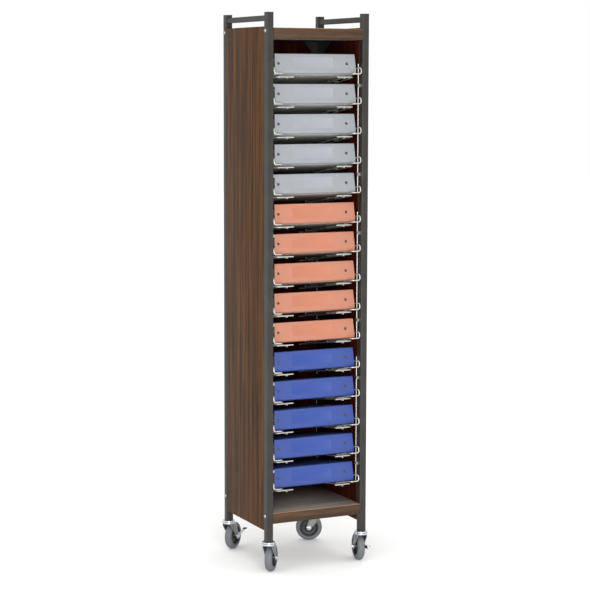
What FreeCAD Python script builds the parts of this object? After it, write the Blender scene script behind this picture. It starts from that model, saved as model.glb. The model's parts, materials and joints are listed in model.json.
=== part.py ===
"""Medical chart rack: a tall open frame on casters with fifteen sloping wire trays and ring binders.

Millimetres, +Z up, +X to the right of somebody who faces the rack, -Y towards them.
The origin is on the floor, under the middle of the whole outline.
"""
import FreeCAD, Part
import math
import os
import re
import Sketcher
from FreeCAD import Placement, Rotation, Vector

SIZES = {
    # Frame of square steel tube.
    "overall_width": 400.0,
    "overall_depth": 381.0,
    "tube_size": 25.4,
    "tube_wall": 1.6,
    "tube_corner": 2.5,
    "post_top": 1992.0,
    # Moulded caps in the tops of the posts.
    "cap_head": 2.0,
    "cap_bevel": 0.8,
    "cap_plug": 14.0,
    "plug_clearance": 0.1,
    # Grab rails along both sides, near the tops of the posts.
    "rail_size": 19.0,
    "rail_wall": 1.5,
    "rail_corner": 2.0,
    "rail_drop": 9.3,
    # Side panels, back panel and the two boards that tie them.
    "panel_rise": 39.0,
    "panel_drop": 47.4,
    "back_thickness": 16.0,
    "back_rebate": 5.0,
    "board_thickness": 39.0,
    "board_edge": 2.5,
    "base_rise": 65.0,
    "top_board_drop": 51.5,
    # Bolts from the posts into the ends of the boards.
    "bolt_diameter": 6.0,
    "bolt_head": 14.0,
    "bolt_head_height": 4.0,
    "bolt_head_round": 3.0,
    "bolt_grip": 42.0,
    "bolt_above_middle": 9.0,
    "bolt_clearance": 0.2,
    "bolt_end": 1.0,
    # Corner gussets under the top board.
    "gusset_plate": 3.0,
    "gusset_height": 72.0,
    "gusset_across": 59.0,
    "gusset_along": 118.0,
    # Wire trays.
    "tray_count": 15,
    "bank_count": 3,
    "first_row_drop": 119.5,
    "last_row_rise": 85.0,
    "tray_slope": 9.0,
    "wire": 4.5,
    "wire_weld": 0.5,
    "loop_gap": 3.6,
    "loop_width": 32.0,
    "loop_rise": 22.0,
    "guard_inset": 6.0,
    "guard_setback": 11.0,
    "loop_bend": 8.0,
    "guard_bend": 6.0,
    "guard_gap": 12.0,
    "tongue_beyond": 11.0,
    "tongue_bar": 65.0,
    "tongue_front": 24.0,
    "tongue_short": 18.0,
    "tongue_bend": 10.0,
    "leg_spacing": 37.5,
    "nub_length": 8.0,
    "joggle_bend": 5.0,
    "stop_rise": 34.0,
    "first_tie": 62.0,
    "second_tie": 150.0,
    "third_tie_short": 25.0,
    "tie_overhang": 3.0,
    # Upright rods that carry the trays, with their clips.
    "rod": 4.0,
    "rod_touch": 0.1,
    "front_rod_back": 23.1,
    "rear_rod_short": 4.5,
    "rod_above_row": 35.0,
    "rod_below_row": 1.0,
    "clip_diameter": 12.0,
    "clip_depth": 20.0,
    "clip_below_row": 41.0,
    "rear_clip_drop": 40.0,
    "clip_flat": 1.25,
    "clip_screw": 5.5,
    "clip_screw_stand": 1.0,
    "screw_clearance": 0.1,
    # Ring binders that lie in the trays.
    "binder_side_gap": 2.75,
    "binder_back_gap": 0.25,
    "binder_height": 71.0,
    "binder_wall": 3.0,
    "binder_taper": 3.0,
    "binder_corner": 6.0,
    "binder_fold": 1.5,
    "binder_front": 16.5,
    "binder_seat": 0.3,
    "label_left_end": 64.0,
    "label_right_end": 98.0,
    "label_height": 31.0,
    "label_thickness": 0.5,
    "rivet_left_end": 15.0,
    "rivet_right_end": 37.0,
    "rivet_head": 11.0,
    "rivet_head_height": 1.6,
    "rivet_head_round": 1.2,
    "rivet_shank": 5.0,
    "rivet_clearance": 0.1,
    "rivet_tail": 0.6,
    "ring_plate": 1.5,
    "ring_plate_width": 30.0,
    "ring_plate_margin": 9.0,
    "ring_diameter": 55.0,
    "ring_wire": 4.0,
    "ring_weld": 0.4,
    "ring_inset": 26.0,
    "ring_hole": 6.8,
    "sheet_end": 11.5,
    "sheet_front": 20.0,
    "sheet_short": 20.0,
    "sheet_slack": 11.0,
    # Casters.
    "caster_head": 16.0,
    "wheel_diameter": 100.0,
    "wheel_width": 26.0,
    "tread_round": 8.0,
    "hub_diameter": 72.0,
    "hub_rim": 24.0,
    "hub_web": 8.0,
    "hub_boss": 24.0,
    "hub_bore": 8.2,
    "hub_play": 0.3,
    "rim_wall": 6.0,
    "tread_seat": 0.05,
    "caster_trail": 35.0,
    "axle_diameter": 8.0,
    "axle_head_flats": 13.0,
    "axle_head_height": 5.0,
    "axle_nut_height": 6.5,
    "axle_end": 1.5,
    "axle_clearance": 0.1,
    "leg_gap": 32.0,
    "leg_plate": 2.5,
    "leg_eye": 11.0,
    "leg_front": 16.0,
    "leg_lip": 8.0,
    "crown_plate": 3.0,
    "crown_gap": 1.5,
    "crown_back": 30.0,
    "race_diameter": 48.0,
    "race_collar": 30.0,
    "race_play": 0.3,
    "top_race": 5.0,
    "race_open": 1.6,
    "kingpin_diameter": 9.8,
    "kingpin_bore": 10.0,
    "kingpin_head": 16.0,
    "kingpin_head_height": 2.2,
    "sleeve_length": 38.0,
    # Brake pedals on two of the casters.
    "pedal_plate": 3.0,
    "pedal_boss": 24.0,
    "pedal_play": 0.3,
    "pedal_arm": 15.0,
    "pedal_tip": 10.5,
    "pedal_tab": 16.0,
    "pedal_tab_width": 13.0,
    "rear_pedal_reach": 60.0,
    "rear_pedal_rise": 13.0,
    "front_pedal_reach": 58.0,
    "front_pedal_rise": 5.0,
}

# Sizes that follow from the others: what fits between, in or under another piece.
FOLLOWING = {
    "post_bottom": "wheel_diameter + caster_head",
    "panel_bottom": "post_bottom + panel_rise",
    "panel_top": "post_top - panel_drop",
    "base_bottom": "post_bottom + base_rise",
    "top_bottom": "post_top - top_board_drop - board_thickness",
    "first_row": "top_bottom - first_row_drop",
    "last_row": "base_bottom + board_thickness + last_row_rise",
    "row_pitch": "(first_row - last_row) / (tray_count - 1)",
    "loop_outer": "overall_width / 2 - tube_size - loop_gap",
    "loop_inner": "loop_outer - loop_width",
    "tongue_outer": "loop_inner + tongue_beyond",
    "tongue_inner": "tongue_outer - tongue_bar",
    "middle_leg": "tongue_outer - leg_spacing",
    "guard_length": "overall_depth - back_thickness - guard_gap",
    "tongue_back": "guard_length - tongue_short",
    "third_tie": "tongue_back - third_tie_short",
    "rear_rod_back": "guard_length - rear_rod_short",
    "binder_length": "2 * (loop_outer - guard_inset - wire / 2 - binder_side_gap)",
    "binder_depth": "tongue_back - 3 * wire / 2 + wire_weld - binder_front - binder_back_gap",
    "rivet_left": "binder_length / 2 - rivet_left_end",
    "rivet_right": "binder_length / 2 - rivet_right_end",
    "label_left": "binder_length / 2 - label_left_end",
    "label_right": "binder_length / 2 - label_right_end",
    "ring_spacing": "(rivet_left + rivet_right) / 2 - ring_inset",
    "sheet_length": "binder_length - 2 * sheet_end",
    "sheet_back": "binder_depth - sheet_short",
    "sheet_stack": "binder_height - 2 * binder_wall - sheet_slack",
}

# Where each caster has come to rest: the way its wheel trails, in degrees from +X towards +Y.
CASTER_TURNS = {"front_left": 50.0, "front_right": 79.0, "rear_left": 40.0, "rear_right": 155.0}
CORNERS = {"front_left": (-1, -1), "front_right": (1, -1), "rear_left": (-1, 1), "rear_right": (1, 1)}
# The pedal's arm trails behind the wheel's axle, +1, or leads it, -1.
PEDALS = {"rear_left": (1, "rear_pedal_reach", "rear_pedal_rise"),
          "front_right": (-1, "front_pedal_reach", "front_pedal_rise")}
# Rows of each bank of five that have a rod clip under them.
CLIP_ROWS = (0, 3)

doc = FreeCAD.newDocument("ChartRack")
sizes = doc.addObject("Spreadsheet::Sheet", "Sizes")
for line, (alias, size) in enumerate(SIZES.items(), start=1):
    sizes.set(f"A{line}", alias.replace("_", " "))
    sizes.set(f"B{line}", str(size))
    sizes.setAlias(f"B{line}", alias)
for line, (alias, rule) in enumerate(FOLLOWING.items(), start=len(SIZES) + 1):
    sizes.set(f"A{line}", alias.replace("_", " "))
    sizes.set(f"B{line}", "=" + rule)
    sizes.setAlias(f"B{line}", alias)
doc.recompute()

sub_parts = []
NAMES = {*SIZES, *FOLLOWING}


def formula(text):
    """The text with each size's name turned into its cell."""
    return re.sub(r"[a-z]\w*", lambda word: "Sizes." + word[0] if word[0] in NAMES else word[0], text)


def bind(piece, **formulas):
    """Bind properties of a piece to formulas of the sheet's sizes."""
    for name, text in formulas.items():
        piece.setExpression(name, formula(text))


def sub_part(piece, label, place=None):
    """Give a finished sub-part its label and its place, and note it for export."""
    piece.Label = label
    piece.Placement = place or Placement()
    sub_parts.append(piece)
    return piece


def at(x=0.0, y=0.0, z=0.0, turn=0.0, axis=(0, 0, 1)):
    """A placement: a turn in degrees about an axis, then a move."""
    return Placement(Vector(x, y, z), Rotation(Vector(*axis), turn))


def group(label, shapes, place=None):
    """A sub-part made of separate solids."""
    piece = doc.addObject("Part::Feature", label)
    piece.Shape = Part.makeCompound(shapes)
    return sub_part(piece, label, place)


def moved(shape, place):
    """A copy of a shape at another place, on top of the place it has."""
    copy = shape.copy()
    copy.Placement = place * copy.Placement
    return copy


def mirrored(shape):
    """The left-hand twin of a right-hand shape."""
    return shape.mirror(Vector(0, 0, 0), Vector(1, 0, 0))


# ---- Sketches and features of the bodies

def new_body(name):
    return doc.addObject("PartDesign::Body", name)


def sketch_on(body, role, name, lift=None):
    """An empty sketch on one of the body's own planes, lifted along the plane's normal."""
    sketch = body.newObject("Sketcher::SketchObject", name)
    plane = next(feature for feature in body.Origin.OriginFeatures if feature.Role == role)
    sketch.AttachmentSupport = [(plane, "")]
    sketch.MapMode = "FlatFace"
    if lift:
        sketch.setExpression("AttachmentOffset.Base.z", formula(lift))
    return sketch


def pin(sketch, line, end, across, up):
    """Hold a point of the sketch at two formulas, measured from the sketch's origin."""
    for kind, text, axis in (("DistanceX", across, -2), ("DistanceY", up, -1)):
        if text == "0":
            sketch.addConstraint(Sketcher.Constraint("PointOnObject", line, end, axis))
            continue
        number = sketch.addConstraint(Sketcher.Constraint(kind, -1, 1, line, end, 1.0))
        sketch.setExpression(f"Constraints[{number}]", formula(text))


def outline(sketch, corners):
    """A closed outline of straight lines through corners given by formulas."""
    first = sketch.GeometryCount
    count = len(corners)
    start = [Vector(10 * math.cos(2 * math.pi * step / count), 10 * math.sin(2 * math.pi * step / count), 0)
             for step in range(count)]
    for step in range(count):
        sketch.addGeometry(Part.LineSegment(start[step], start[(step + 1) % count]))
    for step in range(count):
        following = first + (step + 1) % count
        sketch.addConstraint(Sketcher.Constraint("Coincident", first + step, 2, following, 1))
    for step, (across, up) in enumerate(corners):
        pin(sketch, first + step, 1, across, up)


def rectangle(sketch, left, right, bottom, top):
    outline(sketch, [(left, bottom), (right, bottom), (right, top), (left, top)])


def circle(sketch, across, up, diameter):
    """A circle about a point given by formulas."""
    number = sketch.addGeometry(Part.Circle(Vector(1, 1, 0), Vector(0, 0, 1), 5))
    pin(sketch, number, 3, across, up)
    constraint = sketch.addConstraint(Sketcher.Constraint("Diameter", number, 10.0))
    sketch.setExpression(f"Constraints[{constraint}]", formula(diameter))


def pad(body, sketch, name, length, both=False, back=False):
    """Raise a sketch to a length, from its plane or on both sides of it."""
    feature = body.newObject("PartDesign::Pad", name)
    feature.Profile = sketch
    feature.SideType = "Symmetric" if both else "One side"
    feature.Reversed = back
    bind(feature, Length=length)
    doc.recompute()
    return feature


def pocket(body, sketch, name, length=None, both=False, back=False):
    """Cut a sketch out of the body, right through or to a length, and make sure that it cuts."""
    before = body.Tip.Shape.Volume
    feature = body.newObject("PartDesign::Pocket", name)
    feature.Profile = sketch
    feature.SideType = "Symmetric" if both else "One side"
    feature.Reversed = back
    feature.Type = "Length" if length else "ThroughAll"
    if length:
        bind(feature, Length=length)
    doc.recompute()
    if not feature.Shape.Volume < before - 0.01:
        raise ValueError(f"{name} cuts nothing")
    return feature


def revolve(body, sketch, name, axis="V_Axis"):
    feature = body.newObject("PartDesign::Revolution", name)
    feature.Profile = sketch
    feature.ReferenceAxis = (sketch, [axis])
    feature.Angle = 360
    doc.recompute()
    return feature


def round_edges(body, name, radius, wanted):
    """Round the body's edges that the test picks."""
    base = body.Tip
    names = [f"Edge{number}" for number, edge in enumerate(base.Shape.Edges, start=1) if wanted(edge)]
    feature = body.newObject("PartDesign::Fillet", name)
    feature.Base = (base, names)
    bind(feature, Radius=radius)
    doc.recompute()
    return feature


def near(number, other):
    return abs(number - other) < 0.01


def middle(edge):
    """The middle of an edge's own box."""
    return edge.BoundBox.Center


def button(name, head, height, rounding, shank, length):
    """A fastener with a rounded head that stands on z 0 and a plain shank below it."""
    body = new_body(name)
    face = sketch_on(body, "XY_Plane", name + "_head")
    circle(face, "0", "0", head)
    pad(body, face, name + "_head_pad", height)
    top = body.Tip.Shape.BoundBox.ZMax
    round_edges(body, name + "_dome", rounding, lambda edge: near(middle(edge).z, top))
    stem = sketch_on(body, "XY_Plane", name + "_shank")
    circle(stem, "0", "0", shank)
    pad(body, stem, name + "_shank_pad", length, back=True)
    return body


def bent_wire(corners, bends, diameter):
    """A round wire of straight runs joined by tangent arcs; each inner corner has its own bend radius."""
    edges = []
    start = corners[0]
    for before, corner, after, bend in zip(corners, corners[1:], corners[2:], bends):
        arriving = (corner - before).normalize()
        leaving = (after - corner).normalize()
        half_turn = arriving.getAngle(leaving) / 2
        inwards = (leaving - arriving).normalize()
        enter = corner - arriving * bend * math.tan(half_turn)
        leave = corner + leaving * bend * math.tan(half_turn)
        deepest = corner + inwards * bend * (1 / math.cos(half_turn) - 1)
        edges.append(Part.LineSegment(start, enter).toShape())
        edges.append(Part.Arc(enter, deepest, leave).toShape())
        start = leave
    edges.append(Part.LineSegment(start, corners[-1]).toShape())
    path = Part.Wire(edges)
    section = Part.Circle(corners[0], corners[1] - corners[0], diameter / 2).toShape()
    wire = path.makePipeShell([Part.Wire([section])], True, False)
    expected = path.Length * math.pi * diameter ** 2 / 4
    if not wire.isValid() or abs(wire.Volume / expected - 1) > 0.01:
        raise ValueError("a bent wire came out wrong")
    return wire


# ---- Places that several pieces share

post_x = (sizes.overall_width - sizes.tube_size) / 2
post_y = (sizes.overall_depth - sizes.tube_size) / 2
inner_x = sizes.overall_width / 2 - sizes.tube_size
front_y = -sizes.overall_depth / 2
back_y = sizes.overall_depth / 2
slope = math.radians(sizes.tray_slope)
wire_radius = sizes.wire / 2
tray_y = front_y + wire_radius
rod_x = sizes.loop_outer - sizes.guard_inset + wire_radius + sizes.rod / 2 + sizes.rod_touch
front_rod_y = front_y + sizes.front_rod_back
rear_rod_y = front_y + sizes.rear_rod_back
rows = [sizes.first_row - sizes.row_pitch * row for row in range(int(sizes.tray_count))]
bank_rows = int(sizes.tray_count / sizes.bank_count)


# ---- Posts

def make_post(label, side, end):
    """A square steel tube with two cross bores for the board bolts."""
    body = new_body(label)
    section = sketch_on(body, "XY_Plane", label + "_section")
    outer = "tube_size / 2"
    inner = "tube_size / 2 - tube_wall"
    rectangle(section, f"-({outer})", outer, f"-({outer})", outer)
    rectangle(section, f"-({inner})", inner, f"-({inner})", inner)
    pad(body, section, label + "_tube", "post_top - post_bottom")
    half = sizes.tube_size / 2
    round_edges(body, label + "_corners", "tube_corner",
                lambda edge: near(abs(middle(edge).x), half) and near(abs(middle(edge).y), half))
    bores = sketch_on(body, "YZ_Plane", label + "_bores")
    for board_bottom in ("base_bottom", "top_bottom"):
        height = f"{board_bottom} + board_thickness / 2 + bolt_above_middle - post_bottom"
        circle(bores, "0", height, "bolt_diameter + 2 * bolt_clearance")
    pocket(body, bores, label + "_bolt_bores", both=True)
    return sub_part(body, label, at(side * post_x, end * post_y, sizes.post_bottom))


for corner, (side, end) in CORNERS.items():
    make_post(f"{corner}_post", side, end)


# ---- Post caps: a flat head with a bevelled rim and a plug inside the tube

cap = new_body("cap")
cap_face = sketch_on(cap, "XY_Plane", "cap_face")
rectangle(cap_face, "-tube_size / 2", "tube_size / 2", "-tube_size / 2", "tube_size / 2")
pad(cap, cap_face, "cap_head", "cap_head")
cap_top = sizes.cap_head
cap_rim = [f"Edge{number}" for number, edge in enumerate(cap.Tip.Shape.Edges, start=1)
           if near(middle(edge).z, cap_top)]
bevel_base = cap.Tip
cap_bevel = cap.newObject("PartDesign::Chamfer", "cap_bevel")
cap_bevel.Base = (bevel_base, cap_rim)
bind(cap_bevel, Size="cap_bevel")
cap_plug = sketch_on(cap, "XY_Plane", "cap_plug")
plug_half = "tube_size / 2 - tube_wall - plug_clearance"
rectangle(cap_plug, f"-({plug_half})", plug_half, f"-({plug_half})", plug_half)
pad(cap, cap_plug, "cap_plug_pad", "cap_plug", back=True)
group("post_caps", [moved(cap.Shape, at(side * post_x, end * post_y, sizes.post_top))
                    for side, end in CORNERS.values()])


# ---- Grab rails: square tubes between the front and rear posts

rail = new_body("rail")
rail_section = sketch_on(rail, "XZ_Plane", "rail_section")
rail_outer = "rail_size / 2"
rail_inner = "rail_size / 2 - rail_wall"
rectangle(rail_section, f"-({rail_outer})", rail_outer, f"-({rail_outer})", rail_outer)
rectangle(rail_section, f"-({rail_inner})", rail_inner, f"-({rail_inner})", rail_inner)
pad(rail, rail_section, "rail_tube", "overall_depth - 2 * tube_size", both=True)
rail_half = sizes.rail_size / 2
round_edges(rail, "rail_corners", "rail_corner",
            lambda edge: near(abs(middle(edge).x), rail_half) and near(abs(middle(edge).z), rail_half))
rail_z = sizes.post_top - sizes.rail_drop - sizes.rail_size / 2
group("handle_rails", [moved(rail.Shape, at(side * post_x, 0, rail_z)) for side in (-1, 1)])


# ---- Panels

def make_panel(label, length, width, height, place):
    """A flat laminated panel."""
    panel = doc.addObject("Part::Box", label)
    bind(panel, Length=length, Width=width, Height=height)
    doc.recompute()
    return sub_part(panel, label, place)


for side, label in ((-1, "left_panel"), (1, "right_panel")):
    make_panel(label, "tube_size", "overall_depth - 2 * tube_size", "panel_top - panel_bottom",
               at(side * post_x - sizes.tube_size / 2, front_y + sizes.tube_size, sizes.panel_bottom))
make_panel("back_panel", "overall_width - 2 * tube_size", "back_thickness",
           "top_bottom - base_bottom - board_thickness + back_rebate",
           at(-inner_x, back_y - sizes.back_thickness,
              sizes.base_bottom + sizes.board_thickness - sizes.back_rebate))


# ---- Boards

def make_board(label, bottom, rebated=False):
    """A thick board across the rack, with a blind bore for a bolt near each corner.

    A rebated board has a step along its rear top edge, in which the back panel stands.
    """
    body = new_body(label)
    plan = sketch_on(body, "XY_Plane", label + "_plan")
    half_width = "overall_width / 2 - tube_size"
    half_depth = "overall_depth / 2"
    rectangle(plan, f"-({half_width})", half_width, f"-{half_depth}", half_depth)
    pad(body, plan, label + "_slab", "board_thickness")
    round_edges(body, label + "_front_edges", "board_edge",
                lambda edge: near(middle(edge).y, front_y) and near(middle(edge).x, 0))
    if rebated:
        step = sketch_on(body, "YZ_Plane", label + "_step")
        rectangle(step, f"{half_depth} - back_thickness", f"{half_depth} + back_thickness",
                  "board_thickness - back_rebate", "2 * board_thickness")
        pocket(body, step, label + "_rebate", both=True)
    bores = sketch_on(body, "YZ_Plane", label + "_bores", lift=f"{half_width} - bolt_grip")
    for end in ("-", ""):
        circle(bores, f"{end}(overall_depth - tube_size) / 2", "board_thickness / 2 + bolt_above_middle",
               "bolt_diameter + 2 * bolt_clearance")
    right_bores = pocket(body, bores, label + "_right_bores", back=True)
    before = right_bores.Shape.Volume
    mirror = body.newObject("PartDesign::Mirrored", label + "_left_bores")
    mirror.Originals = [right_bores]
    middle_plane = next(plane for plane in body.Origin.OriginFeatures if plane.Role == "YZ_Plane")
    mirror.MirrorPlane = (middle_plane, [""])
    body.Tip = mirror
    doc.recompute()
    if not mirror.Shape.Volume < before - 0.01:
        raise ValueError(f"{label} has no left-hand bores")
    return sub_part(body, label, at(z=bottom))


make_board("top_board", sizes.top_bottom)
make_board("base_board", sizes.base_bottom, rebated=True)


# ---- Board bolts, from the outside of each post through the tube into the board's bore

bolt = button("bolt", "bolt_head", "bolt_head_height", "bolt_head_round", "bolt_diameter",
              "tube_size + bolt_grip - bolt_end")
bolts = []
for side, end in CORNERS.values():
    for board_bottom in (sizes.base_bottom, sizes.top_bottom):
        bolt_z = board_bottom + sizes.board_thickness / 2 + sizes.bolt_above_middle
        place = at(side * sizes.overall_width / 2, end * post_y, bolt_z, side * 90, (0, 1, 0))
        bolts.append(moved(bolt.Shape, place))
group("board_bolts", bolts)


# ---- Corner gussets: two triangular wings in one bent plate, under the top board beside the rear posts

def make_gusset():
    body = new_body("gusset")
    across = sketch_on(body, "XZ_Plane", "gusset_across")
    outline(across, [("0", "0"), ("-gusset_across", "0"), ("0", "-gusset_height")])
    pad(body, across, "gusset_across_wing", "gusset_plate")
    along = sketch_on(body, "YZ_Plane", "gusset_along")
    outline(along, [("0", "0"), ("-gusset_along", "0"), ("0", "-gusset_height")])
    pad(body, along, "gusset_along_wing", "gusset_plate", back=True)
    return body


gusset = make_gusset()
gusset_y = back_y - sizes.tube_size + sizes.gusset_plate
right_gusset = moved(gusset.Shape, at(inner_x, gusset_y, sizes.top_bottom))
group("top_gussets", [mirrored(right_gusset), right_gusset])


# ---- Wire trays

def make_half_tray():
    """The right-hand half of a tray: a side wire with a standing loop in front, a tongue and its ties."""
    guard_x = sizes.loop_outer - sizes.guard_inset
    tongue_z = -2 * (sizes.wire - sizes.wire_weld)
    nub_z = tongue_z - (sizes.wire - sizes.wire_weld)
    stop_y = sizes.tongue_back - (sizes.wire - sizes.wire_weld)
    nub_end = sizes.tongue_front + wire_radius
    side_wire = bent_wire(
        [Vector(sizes.loop_inner, sizes.tongue_back + sizes.tie_overhang, 0),
         Vector(sizes.loop_inner, 0, 0),
         Vector(sizes.loop_outer, 0, 0),
         Vector(sizes.loop_outer, 0, sizes.loop_rise),
         Vector(guard_x, sizes.guard_setback, sizes.loop_rise),
         Vector(guard_x, sizes.guard_length, sizes.loop_rise)],
        [sizes.loop_bend, sizes.loop_bend, sizes.guard_bend, sizes.guard_bend], sizes.wire)
    tongue = bent_wire(
        [Vector(sizes.tongue_inner, sizes.tongue_front, tongue_z),
         Vector(sizes.tongue_outer, sizes.tongue_front, tongue_z),
         Vector(sizes.tongue_outer, sizes.tongue_back, tongue_z),
         Vector(sizes.tongue_inner, sizes.tongue_back, tongue_z)],
        [sizes.tongue_bend, sizes.tongue_bend], sizes.wire)
    leg = bent_wire(
        [Vector(sizes.middle_leg, nub_end - sizes.nub_length, nub_z),
         Vector(sizes.middle_leg, nub_end + sizes.nub_length / 2, nub_z),
         Vector(sizes.middle_leg, nub_end + 2 * sizes.nub_length, tongue_z),
         Vector(sizes.middle_leg, stop_y, tongue_z),
         Vector(sizes.middle_leg, stop_y, tongue_z + sizes.stop_rise)],
        [sizes.joggle_bend, sizes.joggle_bend, sizes.loop_bend], sizes.wire)
    tie_z = tongue_z / 2
    ties = []
    for tie_y in (sizes.first_tie, sizes.second_tie, sizes.third_tie):
        tie_start = sizes.middle_leg - sizes.tie_overhang
        tie_length = sizes.tongue_outer - sizes.middle_leg + 2 * sizes.tie_overhang
        start = Vector(tie_start, tie_y, tie_z)
        ties.append(Part.makeCylinder(wire_radius, tie_length, start, Vector(1, 0, 0)))
    half = side_wire.fuse([tongue, leg] + ties)
    if len(half.Solids) != 1:
        raise ValueError("a half tray isn't welded into one")
    return half.Solids[0]


half_tray = make_half_tray()
whole_tray = [mirrored(half_tray), half_tray]
for row, row_z in enumerate(rows, start=1):
    group(f"tray_{row:02d}", whole_tray, at(0, tray_y, row_z, -sizes.tray_slope, (1, 0, 0)))


# ---- Rods: one length for each bank of trays at each corner; the rear ones lie lower, with the slope

rear_drop = (rear_rod_y - front_rod_y) * math.tan(slope)
rods = []
clip_places = []
for bank in range(int(sizes.bank_count)):
    bank_top = rows[bank * bank_rows]
    rod_length = sizes.row_pitch * (bank_rows - 1) + sizes.rod_above_row + sizes.rod_below_row
    for rod_y, drop, clip_drop in ((front_rod_y, 0, 0), (rear_rod_y, rear_drop, sizes.rear_clip_drop)):
        rod_foot = bank_top + sizes.rod_above_row - rod_length - drop
        for side in (-1, 1):
            rods.append(Part.makeCylinder(sizes.rod / 2, rod_length, Vector(side * rod_x, rod_y, rod_foot)))
        for row in CLIP_ROWS:
            clip_z = bank_top - row * sizes.row_pitch - sizes.clip_below_row - clip_drop
            clip_places.append((rod_y, clip_z))
group("tray_rods", rods)


# ---- Rod clips: a round block on the post's inner face, bored for the rod, with a set screw in front

def make_clip():
    """The right-hand clip; its own origin is on the rod's axis, at mid height."""
    body = new_body("clip")
    disc = sketch_on(body, "XZ_Plane", "clip_disc")
    face = "(overall_width / 2 - tube_size - loop_outer + guard_inset - wire / 2 - rod / 2 - rod_touch)"
    circle(disc, f"{face} + clip_flat - clip_diameter / 2", "0", "clip_diameter")
    pad(body, disc, "clip_block", "clip_depth", both=True)
    flat = sketch_on(body, "XZ_Plane", "clip_flat")
    rectangle(flat, face, f"{face} + clip_diameter", "-clip_diameter", "clip_diameter")
    pocket(body, flat, "clip_seat", both=True)
    bore = sketch_on(body, "XY_Plane", "clip_bore")
    circle(bore, "0", "0", "rod + 2 * rod_touch")
    pocket(body, bore, "clip_rod_bore", both=True)
    screw = sketch_on(body, "XZ_Plane", "clip_screw", lift="clip_depth / 2")
    circle(screw, "0", "0", "clip_screw + 2 * screw_clearance")
    pocket(body, screw, "clip_screw_bore", length="clip_depth / 2")
    return body


clip = make_clip()
screw_front = sizes.clip_depth / 2 + sizes.clip_screw_stand
clip_screw = Part.makeCylinder(sizes.clip_screw / 2, screw_front - sizes.rod / 2 - sizes.rod_touch,
                               Vector(0, -screw_front, 0), Vector(0, 1, 0))
clips = []
for clip_y, clip_z in clip_places:
    for solid in (clip.Shape, clip_screw):
        right = moved(solid, at(rod_x, clip_y, clip_z))
        clips += [right, mirrored(right)]
group("rod_clips", clips)


# ---- Ring binders; a binder's own origin is at the bottom front of its spine, in the middle

def make_cover():
    """One folded board: the spine in front and the two covers behind it, open at both ends."""
    body = new_body("cover")
    face = sketch_on(body, "XZ_Plane", "cover_face")
    half = "binder_length / 2"
    outline(face, [(f"-{half}", "0"), (half, "0"), (f"{half} - binder_taper", "binder_height"),
                   (f"binder_taper - {half}", "binder_height")])
    pad(body, face, "cover_block", "binder_depth", back=True)
    half_depth = sizes.binder_depth / 2
    round_edges(body, "cover_corners", "binder_corner", lambda edge: near(middle(edge).y, half_depth))
    round_edges(body, "cover_folds", "binder_fold", lambda edge: near(edge.BoundBox.YMax, 0))
    inside = sketch_on(body, "YZ_Plane", "cover_inside")
    rectangle(inside, "binder_wall", "2 * binder_depth", "binder_wall", "binder_height - binder_wall")
    pocket(body, inside, "cover_room", both=True)
    holes = sketch_on(body, "XZ_Plane", "cover_rivet_holes")
    for across in ("-rivet_left", "rivet_right"):
        circle(holes, across, "binder_height / 2", "rivet_shank + 2 * rivet_clearance")
    pocket(body, holes, "cover_rivet_bores", length="binder_wall + ring_plate")
    return body


def make_ring_metal():
    """A steel strip inside the spine with three round rings welded to it."""
    left = -sizes.rivet_left - sizes.ring_plate_margin
    right = sizes.rivet_right + sizes.ring_plate_margin
    bottom = (sizes.binder_height - sizes.ring_plate_width) / 2
    strip = Part.makeBox(right - left, sizes.ring_plate, sizes.ring_plate_width,
                         Vector(left, sizes.binder_wall, bottom))
    hole_radius = sizes.rivet_shank / 2 + sizes.rivet_clearance
    for across in (-sizes.rivet_left, sizes.rivet_right):
        start = Vector(across, sizes.binder_wall / 2, sizes.binder_height / 2)
        strip = strip.cut(Part.makeCylinder(hole_radius, 2 * sizes.binder_wall, start, Vector(0, 1, 0)))
    rings = strip.fuse([ring(across, sizes.ring_wire) for across in ring_places()])
    if len(rings.Solids) != 1:
        raise ValueError("the rings aren't welded to their strip")
    return rings.Solids[0]


def ring_places():
    """Where the rings stand along the spine: evenly about the middle of the strip."""
    strip_middle = (sizes.rivet_right - sizes.rivet_left) / 2
    return [strip_middle + step * sizes.ring_spacing for step in (-1, 0, 1)]


def ring(across, thickness):
    """A ring of round wire, or of the hole that it passes through."""
    ring_y = (sizes.binder_wall + sizes.ring_plate + sizes.ring_wire / 2 - sizes.ring_weld
              + sizes.ring_diameter / 2)
    return Part.makeTorus(sizes.ring_diameter / 2, thickness / 2,
                          Vector(across, ring_y, sizes.binder_height / 2), Vector(1, 0, 0))


def make_sheets():
    """The stack of sheets and dividers, pierced for the rings."""
    stack = Part.makeBox(sizes.sheet_length, sizes.sheet_back - sizes.sheet_front, sizes.sheet_stack,
                         Vector(-sizes.sheet_length / 2, sizes.sheet_front, sizes.binder_wall))
    stack = stack.cut([ring(across, sizes.ring_hole) for across in ring_places()])
    if len(stack.Solids) != 1:
        raise ValueError("the rings cut the sheets apart")
    return stack.Solids[0]


rivet = button("rivet", "rivet_head", "rivet_head_height", "rivet_head_round", "rivet_shank",
               "binder_wall + ring_plate + rivet_tail")
binder_solids = [make_cover().Shape, make_ring_metal(), make_sheets()]
for across in (-sizes.rivet_left, sizes.rivet_right):
    binder_solids.append(moved(rivet.Shape, at(across, 0, sizes.binder_height / 2, 90, (1, 0, 0))))
binder_solids.append(Part.makeBox(
    sizes.label_left + sizes.label_right, sizes.label_thickness, sizes.label_height,
    Vector(-sizes.label_left, -sizes.label_thickness, (sizes.binder_height - sizes.label_height) / 2)))
in_tray = at(0, sizes.binder_front, wire_radius + sizes.binder_seat)
for row, row_z in enumerate(rows, start=1):
    tray_place = at(0, tray_y, row_z, -sizes.tray_slope, (1, 0, 0))
    group(f"binder_{row:02d}", binder_solids, tray_place * in_tray)


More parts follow.
